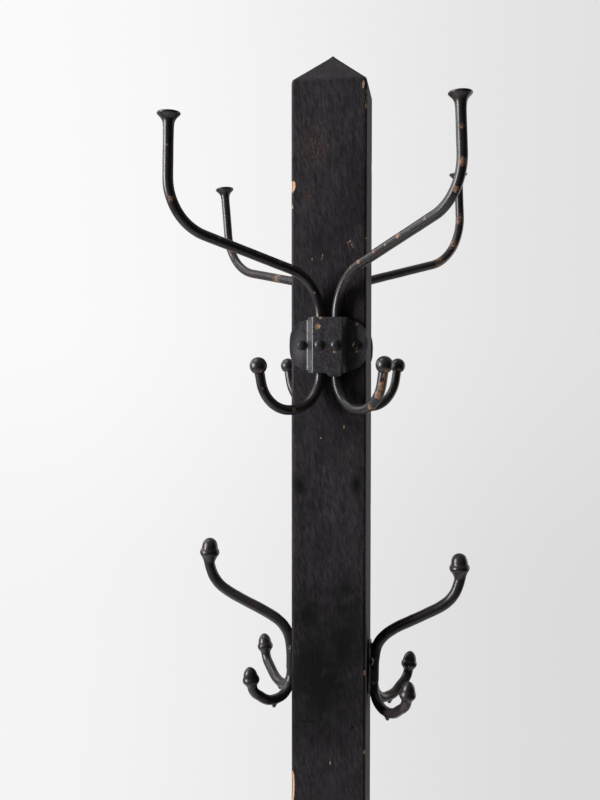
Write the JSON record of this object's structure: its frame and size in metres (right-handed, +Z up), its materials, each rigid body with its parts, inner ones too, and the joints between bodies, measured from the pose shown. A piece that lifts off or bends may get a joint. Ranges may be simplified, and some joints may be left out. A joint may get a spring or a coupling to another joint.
{
  "type": "standing coat rack",
  "caption": "Free-standing square-post coat rack with pyramid top, bent rod arms with flared heads and ball-ended hooks, cast triple hooks, and crossed braced feet.",
  "frame": {"origin": "on the floor, on the post's axis, midway between the four feet", "axes": "+Z up the post, -Y towards the front hook plate, +X to the right seen from the front"},
  "size_m": [0.56, 0.56, 1.7527],
  "materials": {
    "painted_wood": "worn satin black paint over brown wood",
    "painted_iron": "brushed-on black paint, chipped",
    "blackened_steel": "blackened steel rod, satin, rubbed brown in places",
    "cast_iron": "black japanned casting, satin, rust spots",
    "screw_steel": "painted-over steel fasteners",
    "bare_steel": "plain zinc-grey steel",
    "leather": "stacked dark brown leather"
  },
  "bodies": {
    "root": {"post": "painted_wood", "foot_beam_lower": "painted_wood", "foot_beam_upper": "painted_wood", "brace_front": "painted_wood", "foot_pad_front": "leather", "foot_pad_screw_front": "screw_steel", "brace_post_screw_front": "screw_steel", "brace_foot_screw_front": "screw_steel", "brace_back": "painted_wood", "foot_pad_back": "leather", "foot_pad_screw_back": "screw_steel", "brace_post_screw_back": "screw_steel", "brace_foot_screw_back": "screw_steel", "brace_left": "painted_wood", "foot_pad_left": "leather", "foot_pad_screw_left": "screw_steel", "brace_post_screw_left": "screw_steel", "brace_foot_screw_left": "screw_steel", "brace_right": "painted_wood", "foot_pad_right": "leather", "foot_pad_screw_right": "screw_steel", "brace_post_screw_right": "screw_steel", "brace_foot_screw_right": "screw_steel", "post_lag_bolt": "bare_steel", "post_lag_washer": "bare_steel", "front_hook_plate": "painted_iron", "front_plate_screw_left": "screw_steel", "front_plate_rivet_left": "screw_steel", "front_left_rod": "blackened_steel", "front_left_ball_knob": "blackened_steel", "front_plate_screw_right": "screw_steel", "front_plate_rivet_right": "screw_steel", "front_right_rod": "blackened_steel", "front_right_ball_knob": "blackened_steel", "back_hook_plate": "painted_iron", "back_plate_screw_left": "screw_steel", "back_plate_rivet_left": "screw_steel", "back_left_rod": "blackened_steel", "back_left_ball_knob": "blackened_steel", "back_plate_screw_right": "screw_steel", "back_plate_rivet_right": "screw_steel", "back_right_rod": "blackened_steel", "back_right_ball_knob": "blackened_steel", "left_cast_hook": "cast_iron", "left_cast_hook_screw_front": "screw_steel", "left_cast_hook_screw_back": "screw_steel", "right_cast_hook": "cast_iron", "right_cast_hook_screw_front": "screw_steel", "right_cast_hook_screw_back": "screw_steel"}
  },
  "joints": []
}
